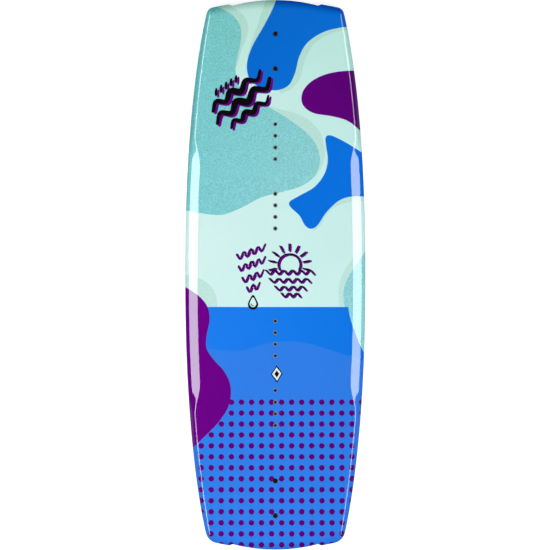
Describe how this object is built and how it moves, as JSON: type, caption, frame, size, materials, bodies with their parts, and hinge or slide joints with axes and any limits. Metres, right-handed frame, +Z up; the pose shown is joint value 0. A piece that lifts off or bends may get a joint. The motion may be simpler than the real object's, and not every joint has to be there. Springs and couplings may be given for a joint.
{
  "type": "wakeboard",
  "caption": "Twin-tip wakeboard with a rockered, bevelled deck, threaded binding inserts down the middle and a bolt-on centre fin under each end.",
  "frame": {"origin": "under the middle of the board, on the floor that its flat middle stands on", "axes": "+X to the right seen from above with the nose ahead, +Y to the nose, +Z up out of the deck"},
  "size_m": [0.396, 1.2, 0.0689],
  "materials": {
    "deck_sheet": "gloss",
    "laminate": "satin",
    "foam": "matte",
    "rail": "gloss",
    "base_sheet": "gloss",
    "insert_plate": "matte",
    "insert_metal": "satin",
    "sleeve": "matte",
    "fin": "gloss",
    "screw": "satin",
    "washer": "satin"
  },
  "bodies": {
    "board": {"deck_sheet": "deck_sheet", "deck_laminate": "laminate", "foam_core": "foam", "perimeter_rail": "rail", "base_laminate": "laminate", "base_sheet": "base_sheet", "insert_plate_nose": "insert_plate", "binding_inserts_nose": "insert_metal", "fin_sleeves_nose": "sleeve", "fin_washers_nose": "washer", "insert_plate_tail": "insert_plate", "binding_inserts_tail": "insert_metal", "fin_sleeves_tail": "sleeve", "fin_washers_tail": "washer"},
    "nose_fin": {"fin_nose": "fin", "fin_inserts_nose": "insert_metal"},
    "nose_outer_screw": {"fin_screw_nose_outer": "screw"},
    "nose_inner_screw": {"fin_screw_nose_inner": "screw"},
    "tail_fin": {"fin_tail": "fin", "fin_inserts_tail": "insert_metal"},
    "tail_outer_screw": {"fin_screw_tail_outer": "screw"},
    "tail_inner_screw": {"fin_screw_tail_inner": "screw"}
  },
  "joints": [
    {"name": "nose_fin_lift", "type": "slide", "parent": "board", "child": "nose_fin", "axis": [0, 0.1607, -0.987], "range_m": [0, 0.00875]},
    {"name": "nose_outer_screw_turn", "type": "hinge", "parent": "board", "child": "nose_outer_screw", "pos_m": [0, 0.52688, 0.05535], "axis": [0, -0.1607, 0.987], "range_deg": [0, 3151]},
    {"name": "nose_inner_screw_turn", "type": "hinge", "parent": "board", "child": "nose_inner_screw", "pos_m": [0, 0.45167, 0.0431], "axis": [0, -0.1607, 0.987], "range_deg": [0, 3151]},
    {"name": "tail_fin_lift", "type": "slide", "parent": "board", "child": "tail_fin", "axis": [0, -0.1607, -0.987], "range_m": [0, 0.00875]},
    {"name": "tail_outer_screw_turn", "type": "hinge", "parent": "board", "child": "tail_outer_screw", "pos_m": [0, -0.52688, 0.05535], "axis": [0, 0.1607, 0.987], "range_deg": [0, 3151]},
    {"name": "tail_inner_screw_turn", "type": "hinge", "parent": "board", "child": "tail_inner_screw", "pos_m": [0, -0.45167, 0.0431], "axis": [0, 0.1607, 0.987], "range_deg": [0, 3151]}
  ],
  "couplings": [
    {"joint": "nose_outer_screw_turn", "follows": "nose_fin_lift", "rad_per_m": 6283.2},
    {"joint": "nose_inner_screw_turn", "follows": "nose_fin_lift", "rad_per_m": 6283.2},
    {"joint": "tail_outer_screw_turn", "follows": "tail_fin_lift", "rad_per_m": 6283.2},
    {"joint": "tail_inner_screw_turn", "follows": "tail_fin_lift", "rad_per_m": 6283.2}
  ]
}
